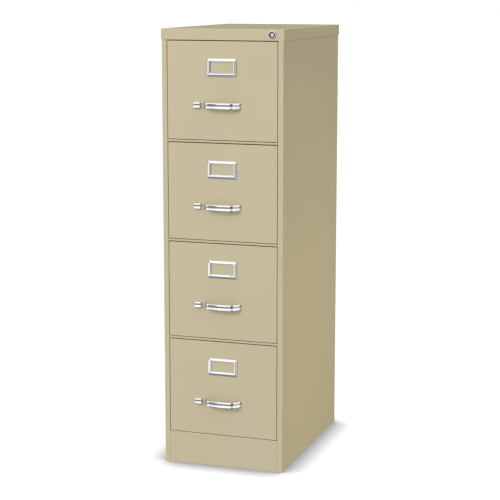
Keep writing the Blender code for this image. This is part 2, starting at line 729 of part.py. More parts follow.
def build_drawer(number, paint, plated, chrome):
    drawer = empty(f"drawer_{number}", None)
    drawer_front(number, paint, drawer)
    drawer_tray(number, paint, drawer)
    label_holder(number, chrome, drawer)
    pull(number, chrome, drawer)
    latch = empty(f"drawer_{number}_latch", drawer)
    thumb_latch(number, chrome, latch)
    latch_bar(number, plated, latch)
    middle = empty(f"drawer_{number}_middle", None)
    height = drawer_bottom(number) + SLIDE_HEIGHT
    for side, label in ((-1, "left"), (1, "right")):
        channel(f"drawer_{number}_runner_{label}", side, RUNNER, RUNNER_SETBACK, height, plated, drawer)
        channel(f"drawer_{number}_mid_slide_{label}", side, MIDDLE, MIDDLE_SETBACK, height, plated, middle)


def main():
    clear_scene()
    paint = material("putty_paint", (0.57, 0.50, 0.34), 0.42, 0.0)
    plated = material("zinc_plated_steel", (0.62, 0.63, 0.64), 0.35, 1.0)
    chrome = material("chrome", (0.86, 0.86, 0.88), 0.08, 1.0)
    build_case(paint, plated, chrome)
    for number in range(1, DRAWER_COUNT + 1):
        build_drawer(number, paint, plated, chrome)


main()
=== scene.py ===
"""Looks of a four-drawer vertical filing cabinet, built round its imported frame.

Metres, +Z up. The drawers face -Y and open towards it, and +X is the right side as seen from the front.
"""

import math

import bmesh
import bpy
from mathutils import Matrix, Vector


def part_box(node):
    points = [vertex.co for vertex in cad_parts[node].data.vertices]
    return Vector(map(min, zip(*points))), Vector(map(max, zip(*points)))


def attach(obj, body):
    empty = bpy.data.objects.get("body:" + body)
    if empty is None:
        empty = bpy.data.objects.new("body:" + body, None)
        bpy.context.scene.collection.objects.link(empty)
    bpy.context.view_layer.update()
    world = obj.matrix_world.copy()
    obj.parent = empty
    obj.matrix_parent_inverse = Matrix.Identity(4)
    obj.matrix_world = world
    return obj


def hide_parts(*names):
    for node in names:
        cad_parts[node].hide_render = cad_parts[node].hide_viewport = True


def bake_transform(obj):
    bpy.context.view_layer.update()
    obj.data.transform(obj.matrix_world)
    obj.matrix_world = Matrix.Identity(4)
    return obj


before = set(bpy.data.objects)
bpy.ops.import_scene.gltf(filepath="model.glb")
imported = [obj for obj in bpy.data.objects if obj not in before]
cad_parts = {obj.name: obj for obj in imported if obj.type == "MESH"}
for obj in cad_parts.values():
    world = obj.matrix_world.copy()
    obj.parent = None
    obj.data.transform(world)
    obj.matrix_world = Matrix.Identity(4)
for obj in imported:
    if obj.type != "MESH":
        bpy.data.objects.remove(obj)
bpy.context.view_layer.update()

# Places read from the frame
CAP_LOW, CAP_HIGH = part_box("top_cap")
WALL_LOW, WALL_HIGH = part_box("right_side_panel")
BACK_LOW, BACK_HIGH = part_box("back_panel")
FRONT_Y = CAP_LOW.y
DRAWERS = (1, 2, 3, 4)
SIDES = {"left": -1, "right": 1}

# Sheet metal
SHEET = 0.0008
TRAY_SHEET = 0.0007
SLIDE_SHEET = 0.0012
BEND = 0.0016
BEND_STEPS = 5
GAP = 0.0003
STILE_RETURN = 0.012
SEAM_FLANGE = 0.015
FLANGE_INSET = 0.030
PAN_LIP = 0.012
RAIL_LIP = 0.005
SHARP = math.radians(40)
FOLD_ANGLE = math.radians(30)
SOFT_ANGLE = math.radians(4)
RAIL_BEND = BEND * 0.7
CUT_MARGIN = 0.01
STILE_TRIM = 0.001
SEAM_WELD_FOOT = 0.055
SEAM_WELD_HEAD = 0.045
SEAM_WELD_COUNT = 13

# Tray details
TRAY_HEM = 0.008
HEM_DROP = 0.005
HEM_INSET = 0.001
BEAD_WIDTH = 0.012
BEAD_RISE = 0.0014
BEAD_INSET = 0.045
BEAD_SHARE = 0.55
TRAY_WELD_RISE = 0.022
TRAY_WELD_INSET = 0.012
TRAY_WELD_COUNT = 4
WELD_RADIUS = 0.0034
WELD_RISE = 0.00045

# Slides
BALL_RADIUS = 0.00180
BALL_PITCH = 0.011
BALL_INSET = 0.006
CAGE_SHEET = 0.0004
CAGE_BEND = BEND * 0.6
CAGE_LENGTH = 0.110
CAGE_INSET = 0.010
# Each cage's fit against the middle member's web, flange ends and half height
INNER_CAGE = (-SLIDE_SHEET - 0.0002, 0.0008, -SLIDE_SHEET - 0.0017)
OUTER_CAGE = (0.0011, 0.0026, 0.0021)
RIVET_RADIUS = 0.0036
RIVET_RISE = 0.0012
RIVET_INSET = 0.030
RIVET_COUNT = 5
OUTER_DEPTH = 0.0086
OUTER_HALF = 0.0220
OUTER_SETBACK = 0.0305
SLIDE_LENGTH = 0.500
UPRIGHT_SETBACKS = (0.045, 0.470)
UPRIGHT_WIDTH = 0.030

# Label frame: its section from the window outwards, as (share across, share of the depth, corner radius)
WINDOW_WIDTH = 0.069
WINDOW_HEIGHT = 0.031
LABEL_SECTION = (
    (0.00, 0.00, 0.0006),
    (0.00, 0.18, 0.0006),
    (0.03, 0.24, 0.0006),
    (0.26, 0.93, 0.0010),
    (0.30, 0.99, 0.0012),
    (0.34, 1.00, 0.0014),
    (0.48, 1.00, 0.0020),
    (0.52, 0.98, 0.0022),
    (0.84, 0.69, 0.0034),
    (0.88, 0.67, 0.0036),
    (0.96, 0.66, 0.0040),
    (1.00, 0.58, 0.0041),
    (1.00, 0.00, 0.0041),
    (0.92, 0.00, 0.0036),
    (0.84, 0.36, 0.0034),
    (0.48, 0.72, 0.0020),
    (0.34, 0.72, 0.0014),
    (0.12, 0.00, 0.0009),
)

# Pull and thumb latch. A shallow groove runs along the face of both.
STRAP = 0.0040
STRAP_TAPER = 0.0006
PULL_CORNER = 0.0160
PULL_FOOT = 0.0040
PULL_BOW = 0.0022
PULL_TURNS = (math.radians(4), math.radians(53), math.radians(15))
GROOVE_TOP = 0.54
GROOVE_BOTTOM = -0.72
GROOVE_DEPTH = 0.0022
RIM_STEPS = 5
GROOVE_STEPS = 16
SCREW_INSET = 0.0030
WASHER_RADIUS = 0.0052
WASHER_THICKNESS = 0.0009
HEAD_RADIUS = 0.0036
HEAD_RIM = 0.0007
HEAD_DOME = 0.0012
BUTTON_DEPTH = 0.0020
RIM_DROP = 0.0016
BUTTON_ENDS = ((-1.0, 0.80), (-0.98, 0.90), (-0.93, 0.97), (-0.86, 1.0))
STEM_HALF = 0.003
STEM_ROUND = 0.0006
STEM_SINK = 0.0005
LATCH_TRAVEL = 0.006
LATCH_CRANK = (-0.145, -0.152)
LATCH_PLAY = 0.0040
NOSE_SLOT = (0.0125, 0.0160, 0.0075)
SPRING_TAB = 0.0075
SPRING_FOOT = 0.014
SPRING_LENGTH = 0.030
SPRING_TURNS = 9
SPRING_STEPS = 20
SPRING_SIDES = 6
SPRING_RADIUS = 0.0024
SPRING_WIRE = 0.00032

# Lock
LOCK_SEGMENTS = 64
LOCK_BARREL = 0.0080
LOCK_PLUG = 0.0056
LOCK_STROKE = 0.007
LOCK_CROWN = 0.0011
LOCK_RECESS = 0.0094
# The keyhole's half width and half height, and the same at its rounded mouth
KEYHOLE = (0.0017, 0.0029)
KEYHOLE_MOUTH = (0.0020, 0.0033)
KEYHOLE_DEPTH = 0.0060
CAM_THICKNESS = 0.0025
CAM_EDGE = 0.0005
CAM_SCREW_RADIUS = 0.0042
PIN_RADIUS = 0.0014
# A turned piece stops this short of its axis
CORE = 0.0004
PIN_CORE = 0.0002
LUG_RISE = 0.193
LUG_SETBACK = 0.0270
LUG_LENGTH = 0.020
LUG_HEIGHT = 0.012

# View
CAMERA_PLACE = (1.5027, -4.4081, 1.4457)
CAMERA_TILT = 79.997
CAMERA_TURN = 18.913
CAMERA_LENS = 108.13

# Studio light. The even light has a level, and a little more or less of it along each axis.
EVEN_LIGHT = 0.55
EVEN_SLOPE = (0.0, -0.15, 0.15)
# Darker places in what the chrome mirrors: (middle, cosine at the edge, cosine where it is darkest, level)
DARK_PLACES = (
    ((0.695, -0.719, 0.0), 0.78, 0.92, 0.03),
    ((-0.629, -0.777, 0.0), 0.945, 0.990, 0.05),
    ((0.0, 1.0, 0.0), 0.10, 0.70, 0.10),
    ((0.0, 0.0, -1.0), 0.20, 0.46, 0.20),
)
MIRRORED_LIGHT = 1.14
WARM = (1.0, 0.92, 0.56)
FLOOR_GLOW = 1.06
# The floor's glow where it touches the cabinet: a painted contact shadow.
FLOOR_CONTACT_SHADOW = 0.34
FLOOR_REACH = 0.11
FLOOR_RADIUS = 60.0
FLOOR_DROP = 0.0005
# Softboxes: (name, place, size, watts, what it looks at, colour)
SOFTBOXES = (
    ("key", (-3.2, -6.5, 3.6), (3.6, 2.6), 240.0, (0.0, 0.0, 0.7), (1.0, 1.0, 1.0)),
    ("low_fill", (1.2, 0.0, 0.35), (0.7, 0.7), 2.5, (0.19, 0.0, 0.35), WARM),
    ("right_wall", (5.0, 0.3, 1.2), (2.4, 2.4), 18.0, (0.19, 0.0, 0.7), WARM),
    ("ceiling", (0.0, 0.3, 5.3), (2.0, 2.0), 19.0, (0.0, 0.0, 1.3), WARM),
)


# Mesh building


def link(name, bm):
    """Makes an object of a finished bmesh, with its faces turned outwards."""
    bmesh.ops.recalc_face_normals(bm, faces=bm.faces)
    mesh = bpy.data.meshes.new(name)
    bm.to_mesh(mesh)
    bm.free()
    made = bpy.data.objects.new(name, mesh)
    bpy.context.scene.collection.objects.link(made)
    return made


def settle(made):
    """Applies the modifiers, so that the mesh is final."""
    graph = bpy.context.evaluated_depsgraph_get()
    mesh = bpy.data.meshes.new_from_object(made.evaluated_get(graph))
    made.modifiers.clear()
    made.data = mesh
    return made


def cut(made, tool):
    modifier = made.modifiers.new("cut", "BOOLEAN")
    modifier.solver = "EXACT"
    modifier.object = tool
    settle(made)
    bpy.data.objects.remove(tool, do_unlink=True)


def box_tool(low, high):
    bm = bmesh.new()
    low, high = Vector(low), Vector(high)
    place = Matrix.Translation((low + high) / 2) @ Matrix.Diagonal((*(high - low), 1.0))
    bmesh.ops.create_cube(bm, size=1.0, matrix=place)
    return link("tool", bm)


def round_tool(centre, radius, length):
    """A cylinder along Y for cutting a round hole."""
    bm = bmesh.new()
    place = Matrix.Translation(centre) @ Matrix.Rotation(math.pi / 2, 4, "X")
    bmesh.ops.create_cone(
        bm, cap_ends=True, segments=LOCK_SEGMENTS, radius1=radius, radius2=radius, depth=length, matrix=place
    )
    return link("tool", bm)


def mark_bends(mesh):
    """Stores 1 on the points inside a bend or a round, which the paint lightens as a painted highlight."""
    bm = bmesh.new()
    bm.from_mesh(mesh)
    values = []
    for vert in bm.verts:
        mean = sum((face.normal * face.calc_area() for face in vert.link_faces), Vector())
        turns = [mean.angle(face.normal, 0.0) for face in vert.link_faces] or [0.0]
        values.append(1.0 if SOFT_ANGLE < min(turns) < FOLD_ANGLE else 0.0)
    bm.free()
    layer = mesh.attributes.new("bend", "FLOAT", "POINT")
    layer.data.foreach_set("value", values)


def finish_piece(made, finish, body, nodes=()):
    """Gives a piece its material, smooth bends and sharp edges, and lets it ride its body."""
    mesh = made.data
    mesh.materials.clear()
    mesh.materials.append(finish)
    mesh.shade_smooth()
    mesh.set_sharp_from_angle(angle=SHARP)
    mark_bends(mesh)
    modifier = made.modifiers.new("flat faces", "WEIGHTED_NORMAL")
    modifier.keep_sharp = True
    if nodes:
        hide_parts(*nodes)
    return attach(made, body)


def painted(made, body, *nodes):
    return finish_piece(made, PAINT, body, nodes)


def plated(made, body, *nodes):
    return finish_piece(made, ZINC, body, nodes)


def chromed(made, body, *nodes):
    return finish_piece(made, CHROME, body, nodes)


def fold(bm, profile, start, end):
    """Extrudes an open profile of points from start to end, and returns its two rows of vertices."""
    rows = [[bm.verts.new(Vector(p) + Vector(offset)) for p in profile] for offset in (start, end)]
    for i in range(len(profile) - 1):
        bm.faces.new((rows[0][i], rows[0][i + 1], rows[1][i + 1], rows[1][i]))
    return rows


def flange(bm, first, second, offset, inset):
    """Adds a flange along an edge, stepped by offset, with its free corners drawn in by inset."""
    along = (second.co - first.co).normalized() * inset
    near = bm.verts.new(first.co + Vector(offset) + along)
    far = bm.verts.new(second.co + Vector(offset) - along)
    bm.faces.new((first, second, far, near))
    return near, far


def sheet(name, bm, outside, thickness, radius=BEND):
    """Bends an open surface into sheet metal. The first face looks along outside, with the metal behind."""
    bmesh.ops.recalc_face_normals(bm, faces=bm.faces)
    bm.faces.ensure_lookup_table()
    bm.normal_update()
    if bm.faces[0].normal.dot(Vector(outside)) < 0:
        bmesh.ops.reverse_faces(bm, faces=bm.faces)
    mesh = bpy.data.meshes.new(name)
    bm.to_mesh(mesh)
    bm.free()
    made = bpy.data.objects.new(name, mesh)
    bpy.context.scene.collection.objects.link(made)
    bends = made.modifiers.new("bends", "BEVEL")
    bends.width = radius
    bends.segments = BEND_STEPS
    bends.limit_method = "ANGLE"
    bends.angle_limit = FOLD_ANGLE
    wall = made.modifiers.new("thickness", "SOLIDIFY")
    wall.thickness = thickness
    wall.offset = -1.0
    wall.use_even_offset = True
    return settle(made)


def tray_surface(corners, low, high):
    """A rectangular floor with four walls, and the vertices of its rim."""
    bm = bmesh.new()
    floor = [bm.verts.new((x, y, low)) for x, y in corners]
    rim = [bm.verts.new((x, y, high)) for x, y in corners]
    bm.faces.new(floor)
    for i in range(4):
        j = (i + 1) % 4
        bm.faces.new((floor[j], floor[i], rim[i], rim[j]))
    return bm, rim


def pan_surface(low, high, lip):
    """A shallow pan open towards +Y, with an inward lip round its open side."""
    bm = bmesh.new()
    x0, y0, z0 = low
    x1, y1, z1 = high
    front = [bm.verts.new((x, y0, z)) for x, z in ((x0, z0), (x1, z0), (x1, z1), (x0, z1))]
    back = [bm.verts.new((v.co.x, y1, v.co.z)) for v in front]
    bm.faces.new(front)
    for i in range(4):
        j = (i + 1) % 4
        bm.faces.new((front[j], front[i], back[i], back[j]))
    if lip:
        inner = ((x0 + lip, z0 + lip), (x1 - lip, z0 + lip), (x1 - lip, z1 - lip), (x0 + lip, z1 - lip))
        edge = [bm.verts.new((x, y1, z)) for x, z in inner]
        for i in range(4):
            j = (i + 1) % 4
            bm.faces.new((back[j], back[i], edge[i], edge[j]))
    return bm


def loft(bm, rings, closed=False):
    """Joins rings of points with faces, round on themselves if closed, else with a face at each end."""
    rows = [[bm.verts.new(p) for p in ring] for ring in rings]
    pairs = list(zip(rows, rows[1:]))
    if closed:
        pairs.append((rows[-1], rows[0]))
    for here, after in pairs:
        for i in range(len(here)):
            j = (i + 1) % len(here)
            bm.faces.new((here[i], here[j], after[j], after[i]))
    if not closed:
        bm.faces.new(rows[0])
        bm.faces.new(rows[-1])


def rounded_rectangle(half_width, half_height, radius, steps=4):
    """The points of a rectangle with round corners, as (across, up) pairs."""
    points = []
    for turn, (right, up) in enumerate(((1, 1), (-1, 1), (-1, -1), (1, -1))):
        for step in range(steps + 1):
            angle = math.pi / 2 * (turn + step / steps)
            across = right * (half_width - radius) + radius * math.cos(angle)
            points.append((across, up * (half_height - radius) + radius * math.sin(angle)))
    return points


def turned(bm, profile, centre, segments):
    """Spins a closed outline of (radius, y) points round an axis along Y through centre."""
    rings = []
    for step in range(segments):
        angle = 2 * math.pi * step / segments
        turn = Vector((math.cos(angle), 0, math.sin(angle)))
        rings.append([Vector(centre) + turn * r + Vector((0, y, 0)) for r, y in profile])
    rows = [[bm.verts.new(p) for p in ring] for ring in rings]
    for step in range(segments):
        here, after = rows[step], rows[(step + 1) % segments]
        for i in range(len(profile)):
            j = (i + 1) % len(profile)
            bm.faces.new((here[i], here[j], after[j], after[i]))


def disc(bm, centre, normal, radius, rise, segments=16):
    """A low dome, such as a weld mark or a rivet head, standing on a face that looks along normal."""
    turn = Vector((0, 0, 1)).rotation_difference(Vector(normal)).to_matrix()
    rings = []
    for share, height in ((1.0, -0.3), (0.96, 0.35), (0.80, 0.80), (0.50, 0.97), (0.18, 1.0)):
        ring = []
        for step in range(segments):
            angle = 2 * math.pi * step / segments
            across = radius * share
            point = Vector((across * math.cos(angle), across * math.sin(angle), rise * height))
            ring.append(Vector(centre) + turn @ point)
        rings.append(ring)
    loft(bm, rings)


def steps_between(start, end, count):
    return [start + (end - start) * i / (count - 1) for i in range(count)]


# Materials


def new_material(name, roughness, metallic, color):
    """A Principled material, with its nodes and the object coordinates that its patterns use."""
    made = bpy.data.materials.new(name)
    made.use_nodes = True
    made.diffuse_color = (*color, 1.0)
    nodes = made.node_tree.nodes
    shader = nodes["Principled BSDF"]
    shader.inputs["Roughness"].default_value = roughness
    shader.inputs["Metallic"].default_value = metallic
    shader.inputs["Base Color"].default_value = (*color, 1.0)
    place = nodes.new("ShaderNodeTexCoord")
    return made, shader, place.outputs["Object"]


def node(material, kind, inputs=None, **settings):
    made = material.node_tree.nodes.new(kind)
    for name, value in settings.items():
        setattr(made, name, value)
    for name, value in (inputs or {}).items():
        if isinstance(value, bpy.types.NodeSocket):
            material.node_tree.links.new(value, made.inputs[name])
        else:
            made.inputs[name].default_value = value
    return made


def noise(material, where, scale, detail=2.0, roughness=0.5):
    inputs = {"Vector": where, "Scale": scale, "Detail": detail, "Roughness": roughness}
    return node(material, "ShaderNodeTexNoise", inputs).outputs["Fac"]


def stretched(material, where, scale):
    """Coordinates scaled differently along each axis, for grain and streaks."""
    inputs = {"Vector": where, "Scale": scale}
    return node(material, "ShaderNodeMapping", inputs).outputs["Vector"]


def spread(material, value, low, high, from_low=0.3, from_high=0.7):
    """Maps a pattern onto the range from low to high."""
    inputs = {"Value": value, "From Min": from_low, "From Max": from_high, "To Min": low, "To Max": high}
    return node(material, "ShaderNodeMapRange", inputs).outputs["Result"]


def blended(material, share, first, second):
    """A colour between first and second, by a pattern."""
    made = node(material, "ShaderNodeMix", data_type="RGBA")
    material.node_tree.links.new(share, made.inputs["Factor"])
    for socket, value in ((made.inputs["A"], first), (made.inputs["B"], second)):
        if isinstance(value, bpy.types.NodeSocket):
            material.node_tree.links.new(value, socket)
        else:
            socket.default_value = (*value, 1.0)
    return made.outputs["Result"]


def bumps(material, shader, layers):
    """Chains bump layers of (pattern, height in metres) onto the shader's normal."""
    normal = None
    for pattern, height in layers:
        inputs = {"Height": pattern, "Distance": height, "Strength": 1.0}
        if normal:
            inputs["Normal"] = normal
        normal = node(material, "ShaderNodeBump", inputs).outputs["Normal"]
    material.node_tree.links.new(normal, shader.inputs["Normal"])


def paint_material():
    """Baked putty enamel: a fine orange peel, faint clouding, and a painted highlight on the bends."""
    base = (0.585, 0.513, 0.346)
    made, shader, where = new_material("putty_enamel", 0.42, 0.0, base)
    join = made.node_tree.links.new
    clouds = noise(made, where, 5.0, 3.0)
    fleck = noise(made, where, 900.0, 1.0)
    bend = node(made, "ShaderNodeAttribute", attribute_name="bend").outputs["Fac"]
    clouded = blended(made, spread(made, clouds, 0.0, 1.0), (0.578, 0.506, 0.340), (0.592, 0.520, 0.352))
    flecked = blended(made, spread(made, fleck, 0.0, 0.35, 0.55, 0.75), clouded, (0.615, 0.545, 0.375))
    # Painted highlight: the bends are lightened towards a paler putty.
    bend_highlight = blended(made, spread(made, bend, 0.0, 0.6, 0.0, 1.0), flecked, (0.700, 0.630, 0.450))
    join(bend_highlight, shader.inputs["Base Color"])
    smudges = noise(made, where, 14.0, 4.0, 0.6)
    join(spread(made, smudges, 0.40, 0.50), shader.inputs["Roughness"])
    shader.inputs["Specular IOR Level"].default_value = 0.18
    peel = noise(made, where, 650.0, 2.0)
    waves = noise(made, where, 9.0, 1.0)
    bumps(made, shader, ((waves, 0.0006), (peel, 0.000022)))
    return made


def zinc_material():
    """Bright zinc plate over rolled steel: streaks along the strip, small spangles and a faint blue cast."""
    base = (0.60, 0.62, 0.64)
    made, shader, where = new_material("zinc_plate", 0.34, 1.0, base)
    join = made.node_tree.links.new
    streaks = noise(made, stretched(made, where, (900.0, 12.0, 900.0)), 1.0, 3.0)
    spangle = node(made, "ShaderNodeTexVoronoi", {"Vector": where, "Scale": 260.0}).outputs["Color"]
    spangle = node(made, "ShaderNodeSeparateColor", {"Color": spangle}).outputs["Red"]
    clouds = spread(made, noise(made, where, 24.0), 0.0, 1.0)
    cast = blended(made, clouds, (0.57, 0.60, 0.64), (0.66, 0.65, 0.62))
    toned = blended(made, spread(made, spangle, 0.0, 0.35, 0.0, 1.0), cast, (0.70, 0.71, 0.72))
    join(toned, shader.inputs["Base Color"])
    join(spread(made, streaks, 0.26, 0.42), shader.inputs["Roughness"])
    bumps(made, shader, ((streaks, 0.000012),))
    return made


def chrome_material(name, color, low, high):
    """Polished plating with faint hairlines and a trace of haze."""
    made, shader, where = new_material(name, (low + high) / 2, 1.0, color)
    join = made.node_tree.links.new
    haze = noise(made, where, 60.0, 3.0)
    hairlines = noise(made, stretched(made, where, (60.0, 60.0, 1800.0)), 1.0, 2.0)
    join(spread(made, haze, low, high), shader.inputs["Roughness"])
    tone = blended(made, spread(made, haze, 0.0, 1.0), tuple(c * 0.97 for c in color), color)
    join(tone, shader.inputs["Base Color"])
    bumps(made, shader, ((hairlines, 0.0000025),))
    return made


def painted_shade_material():
    """Near-black painted shade inside the keyhole and the lock's recess, faintly speckled."""
    made, shader, where = new_material("keyhole_and_recess_shade", 0.6, 0.0, (0.012, 0.011, 0.010))
    # The speckle only varies the near-black of the painted shade.
    shade_speckle = blended(made, noise(made, where, 900.0, 2.0), (0.006, 0.006, 0.005), (0.022, 0.020, 0.017))
    made.node_tree.links.new(shade_speckle, shader.inputs["Base Color"])
    return made


def steel_material():
    """Ground bearing steel and spring wire."""
    made, shader, where = new_material("bearing_steel", 0.16, 1.0, (0.56, 0.56, 0.58))
    marks = noise(made, where, 700.0, 3.0)
    made.node_tree.links.new(spread(made, marks, 0.10, 0.24), shader.inputs["Roughness"])
    tone = blended(made, marks, (0.50, 0.50, 0.52), (0.62, 0.62, 0.64))
    made.node_tree.links.new(tone, shader.inputs["Base Color"])
    bumps(made, shader, ((marks, 0.000003),))
    return made


# The case


def side_shell(label, side):
    inner, outer = side * WALL_LOW.x, side * WALL_HIGH.x
    rear = WALL_HIGH.y
    profile = (
        (inner, FRONT_Y + STILE_RETURN, 0),
        (inner, FRONT_Y, 0),
        (outer, FRONT_Y, 0),
        (outer, FRONT_Y + FLANGE_INSET, 0),
        (outer, rear - FLANGE_INSET, 0),
        (outer, rear, 0),
        (outer - side * SEAM_FLANGE, rear, 0),
    )
    bm = bmesh.new()
    for row in fold(bm, profile, (0, 0, 0), (0, 0, WALL_HIGH.z)):
        flange(bm, row[3], row[4], (-side * SEAM_FLANGE, 0, 0), SEAM_FLANGE)
    made = sheet(f"{label}_side_shell", bm, (-side, 0, 0), SHEET)
    reach = sorted((side * (WALL_LOW.x - CUT_MARGIN), side * (WALL_HIGH.x + CUT_MARGIN)))
    low = (reach[0], FRONT_Y - CUT_MARGIN, CAP_LOW.z - GAP)
    high = (reach[1], FRONT_Y + STILE_RETURN + STILE_TRIM, CAP_HIGH.z + CUT_MARGIN)
    cut(made, box_tool(low, high))
    return painted(made, "case", f"{label}_side_panel")


def cut_lock_hole(made, y, length):
    """Cuts the hole that the lock's barrel passes through."""
    low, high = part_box("lock_housing")
    centre = (low + high) / 2
    cut(made, round_tool((centre.x, y, centre.z), LOCK_BARREL + GAP, length))


def cap_shell():
    low, high = CAP_LOW, CAP_HIGH
    corners = ((low.x, low.y), (high.x, low.y), (high.x, high.y), (low.x, high.y))
    bm, _ = tray_surface(corners, high.z, low.z)
    made = sheet("top_cap_shell", bm, (0, 0, 1), SHEET)
    cut_lock_hole(made, FRONT_Y, 2 * CUT_MARGIN)
    return painted(made, "case", "top_cap")


def back_shell():
    low, high = BACK_LOW, BACK_HIGH
    bm = bmesh.new()
    corners = ((low.x, low.z), (high.x, low.z), (high.x, high.z), (low.x, high.z))
    face = [bm.verts.new((x, high.y, z)) for x, z in corners]
    rim = [bm.verts.new((x, low.y, z)) for x, z in corners]
    bm.faces.new(face)
    for i in range(4):
        j = (i + 1) % 4
        bm.faces.new((face[j], face[i], rim[i], rim[j]))
    return painted(sheet("back_panel_shell", bm, (0, 1, 0), SHEET), "case", "back_panel")


def front_member(node_name, lip):
    """A cross rail or the kick panel: a shallow pan between the stiles, flush with them."""
    low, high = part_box(node_name)
    bm = pan_surface(low, high, lip)
    made = sheet(f"{node_name}_shell", bm, (0, -1, 0), SHEET, RAIL_BEND)
    return painted(made, "case", node_name)


def top_rail_shell():
    low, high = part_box("top_rail")
    profile = ((low.x, low.y, low.z), (low.x, low.y, high.z), (low.x, high.y, high.z))
    bm = bmesh.new()
    fold(bm, profile, (0, 0, 0), (high.x - low.x, 0, 0))
    made = sheet("top_rail_shell", bm, (0, -1, 0), SHEET)
    cut_lock_hole(made, low.y, CUT_MARGIN)
    return painted(made, "case", "top_rail")


def brace_shell():
    low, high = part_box("rear_base_brace")
    profile = ((low.x, high.y, high.z), (low.x, high.y, low.z), (low.x, low.y, low.z))
    bm = bmesh.new()
    fold(bm, profile, (0, 0, 0), (high.x - low.x, 0, 0))
    return painted(sheet("rear_base_brace_shell", bm, (0, 1, 0), SHEET), "case", "rear_base_brace")


def seam_welds():
    """Rows of weld marks down both rear seams."""
    bm = bmesh.new()
    for side in SIDES.values():
        x = side * (WALL_HIGH.x - SEAM_FLANGE / 2)
        for z in steps_between(SEAM_WELD_FOOT, CAP_LOW.z - SEAM_WELD_HEAD, SEAM_WELD_COUNT):
            disc(bm, (x, WALL_HIGH.y, z), (0, 1, 0), WELD_RADIUS, WELD_RISE)
    return painted(link("rear_seam_welds", bm), "case")


def channel_profile(side, web, ends, low, high, y):
    return [(side * x, y, z) for x, z in ((ends, high), (web, high), (web, low), (ends, low))]


def channel(name, side, web, ends, low, high, y0, y1):
    """A folded slide member along Y, open towards its flange ends."""
    bm = bmesh.new()
    fold(bm, channel_profile(side, web, ends, low, high, y0), (0, 0, 0), (0, y1 - y0, 0))
    return sheet(name, bm, (0, 0, 1), SLIDE_SHEET)


def joined(name, parts):
    """One piece made of several welded parts."""
    bm = bmesh.new()
    for part in parts:
        bm.from_mesh(part.data)
        bpy.data.objects.remove(part, do_unlink=True)
    return link(name, bm)


def slide_rack(label, side):
    """Two uprights, the four fixed channels welded to them, and the rivets between."""
    low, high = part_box(f"{label}_slide_rack")
    inner, outer = sorted((abs(low.x), abs(high.x)))
    web = inner + OUTER_DEPTH
    parts = []
    for setback in UPRIGHT_SETBACKS:
        y = FRONT_Y + setback
        face, far = web - SLIDE_SHEET / 3, y + UPRIGHT_WIDTH
        stops = ((outer, y), (face, y), (face, far), (outer, far))
        profile = [(side * x, along, 0) for x, along in stops]
        bm = bmesh.new()
        fold(bm, profile, (0, 0, low.z), (0, 0, high.z))
        parts.append(sheet("upright", bm, (0, -1, 0), SLIDE_SHEET))
    bm = bmesh.new()
    for number in DRAWERS:
        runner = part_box(f"drawer_{number}_runner_{label}")
        middle = (runner[0].z + runner[1].z) / 2
        y0 = FRONT_Y + OUTER_SETBACK
        bottom, top = middle - OUTER_HALF, middle + OUTER_HALF
        parts.append(channel("rail", side, web, inner, bottom, top, y0, y0 + SLIDE_LENGTH))
        for setback in UPRIGHT_SETBACKS:
            y = FRONT_Y + setback + UPRIGHT_WIDTH / 2
            face = side * (web - SLIDE_SHEET)
            disc(bm, (face, y, middle), (-side, 0, 0), WELD_RADIUS, WELD_RISE)
    parts.append(link("marks", bm))
    return plated(joined(f"{label}_slide_rack_welded", parts), "case", f"{label}_slide_rack")


# The lock


def quarter(steps):
    """Angles from 0 to a right angle."""
    return [math.pi / 2 * i / steps for i in range(steps + 1)]


def lock_face():
    """The bezel and barrel of the lock, a crowned ring on the cap's front flange, with a near-black ring of
    painted shade in its recess.
    """
    low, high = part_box("lock_housing")
    centre = ((low.x + high.x) / 2, 0.0, (low.z + high.z) / 2)
    face = (high.x - low.x) / 2
    front, back = low.y, high.y
    seat = FRONT_Y - GAP
    inner = LOCK_PLUG + GAP
    crown = []
    for angle in quarter(6):
        crown.append((face - LOCK_CROWN * (1 - math.cos(angle)), front + LOCK_CROWN * (1 - math.sin(angle))))
    lip = [(LOCK_RECESS + 0.0003, front), (LOCK_RECESS, front + 0.0004), (LOCK_RECESS, seat - 0.0004)]
    well = [(inner, seat - 0.0004), (inner, back), (LOCK_BARREL, back), (LOCK_BARREL, seat)]
    bm = bmesh.new()
    turned(bm, [(face, seat), *crown, *lip, *well], centre, LOCK_SEGMENTS)
    made = chromed(link("lock_bezel", bm), "case", "lock_housing")
    # A near-black lining of the recess: painted shade.
    bm = bmesh.new()
    depth = seat - 0.0005
    outer, lining = LOCK_RECESS - 0.0002, LOCK_RECESS - 0.0005
    recess = [(outer, depth), (outer, front + 0.0010), (lining, front + 0.0010)]
    recess += [(lining, depth - 0.0004), (inner, depth - 0.0004), (inner, depth)]
    turned(bm, recess, centre, LOCK_SEGMENTS)
    finish_piece(link("lock_recess_shade", bm), DARK, "case")
    return made


